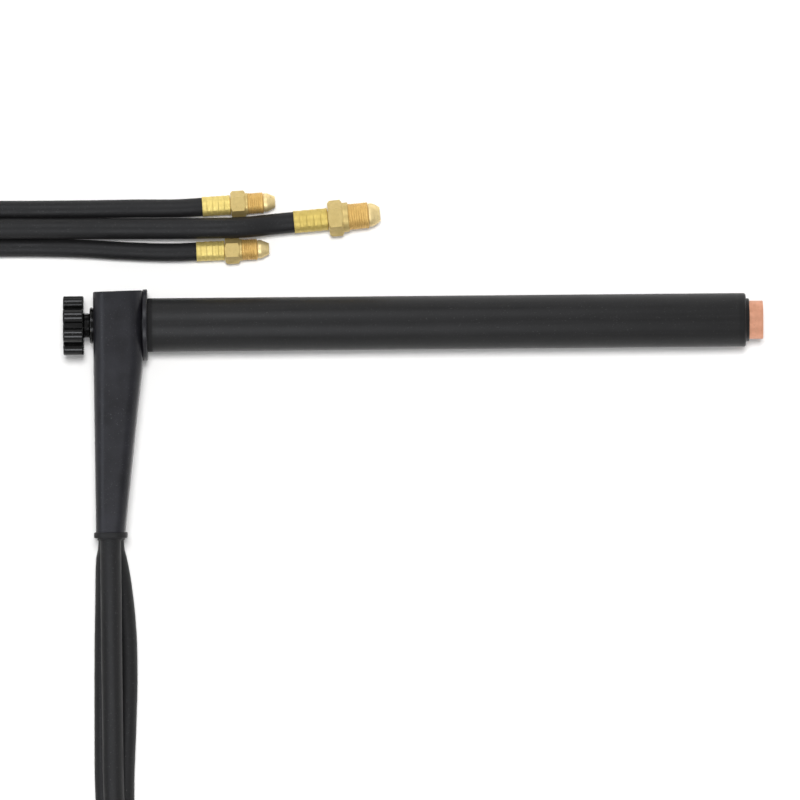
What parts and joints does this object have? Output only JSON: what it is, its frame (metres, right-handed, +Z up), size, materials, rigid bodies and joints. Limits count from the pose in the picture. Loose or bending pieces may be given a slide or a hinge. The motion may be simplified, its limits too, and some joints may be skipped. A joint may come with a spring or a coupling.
{
  "type": "electrode holder",
  "caption": "Water-cooled electrode holder: long insulated barrel with copper nose, square-set handle, lobed collet knob, and coiled gas, water and power hoses with brass swivel nuts.",
  "frame": {"origin": "on the barrel's axis at the front face of the handle's collar", "axes": "+X along the barrel to the copper nose, -Y down the handle, +Z up from the surface that the holder lies on"},
  "size_m": [0.7246, 0.4732, 0.0494],
  "materials": {
    "phenolic": "machined insulating tube, satin",
    "handle_shell": "moulded shell, satin",
    "knob_plastic": "moulded, polished",
    "black_rubber": "moulded, dull",
    "hose_rubber": "extruded hose, dull",
    "strap_fabric": "woven strap",
    "brass": "turned",
    "ferrule_brass": "drawn, bright",
    "copper": "turned copper",
    "steel": "drawn"
  },
  "bodies": {
    "torch": {"barrel_sleeve": "phenolic", "front_collar": "phenolic", "handle_upper": "handle_shell", "handle_lower": "handle_shell", "end_ring": "black_rubber", "hose_grommet": "black_rubber", "rear_block": "brass", "rear_gland": "knob_plastic", "stem_seal": "black_rubber", "jacket_tube": "copper", "core_tube": "copper", "water_pipe": "copper", "centre_spacer": "phenolic", "front_insulator": "phenolic", "nose_seal": "black_rubber", "nose_body": "copper", "gas_stem": "brass", "power_stem": "brass", "water_stem": "brass", "stem_clamps": "steel", "gas_hose_inside": "hose_rubber", "power_hose_inside": "hose_rubber", "water_hose_inside": "hose_rubber", "gas_hose_lead": "hose_rubber", "power_hose_lead": "hose_rubber", "water_hose_lead": "hose_rubber", "gas_hose_coil": "hose_rubber", "power_hose_coil": "hose_rubber", "water_hose_coil": "hose_rubber", "gas_hose_tail": "hose_rubber", "power_hose_tail": "hose_rubber", "water_hose_tail": "hose_rubber", "coil_straps": "strap_fabric", "gas_ferrule": "ferrule_brass", "power_ferrule_sleeve": "ferrule_brass", "water_ferrule": "ferrule_brass", "gas_nipple": "brass", "power_nipple": "brass", "water_nipple": "brass"},
    "draw_bar": {"push_tube": "copper", "collet": "copper", "retaining_pins": "steel"},
    "knob_set": {"knob": "knob_plastic", "draw_screw": "brass", "knob_pin": "steel"},
    "gas_nut_body": {"gas_nut": "brass"},
    "power_nut_body": {"power_nut": "brass"},
    "water_nut_body": {"water_nut": "brass"}
  },
  "joints": [
    {"name": "draw_slide", "type": "slide", "parent": "torch", "child": "draw_bar", "axis": [-1, 0, 0], "range_m": [0, 0.003]},
    {"name": "knob_turn", "type": "hinge", "parent": "draw_bar", "child": "knob_set", "pos_m": [0, 0, 0], "axis": [-1, 0, 0], "range_deg": [0, 720]},
    {"name": "gas_nut_spin", "type": "hinge", "parent": "torch", "child": "gas_nut_body", "pos_m": [0.03375, 0.0715, -0.01451], "axis": [0.9982, 0.0593, 0], "continuous": true},
    {"name": "power_nut_spin", "type": "hinge", "parent": "torch", "child": "power_nut_body", "pos_m": [0.0892, 0.0616, -0.01213], "axis": [0.9962, 0.0872, 0], "continuous": true},
    {"name": "water_nut_spin", "type": "hinge", "parent": "torch", "child": "water_nut_body", "pos_m": [0.0299, 0.0444, -0.01451], "axis": [0.9996, 0.0297, 0], "continuous": true}
  ],
  "couplings": [
    {"joint": "knob_turn", "follows": "draw_slide", "rad_per_m": 4188.8}
  ]
}
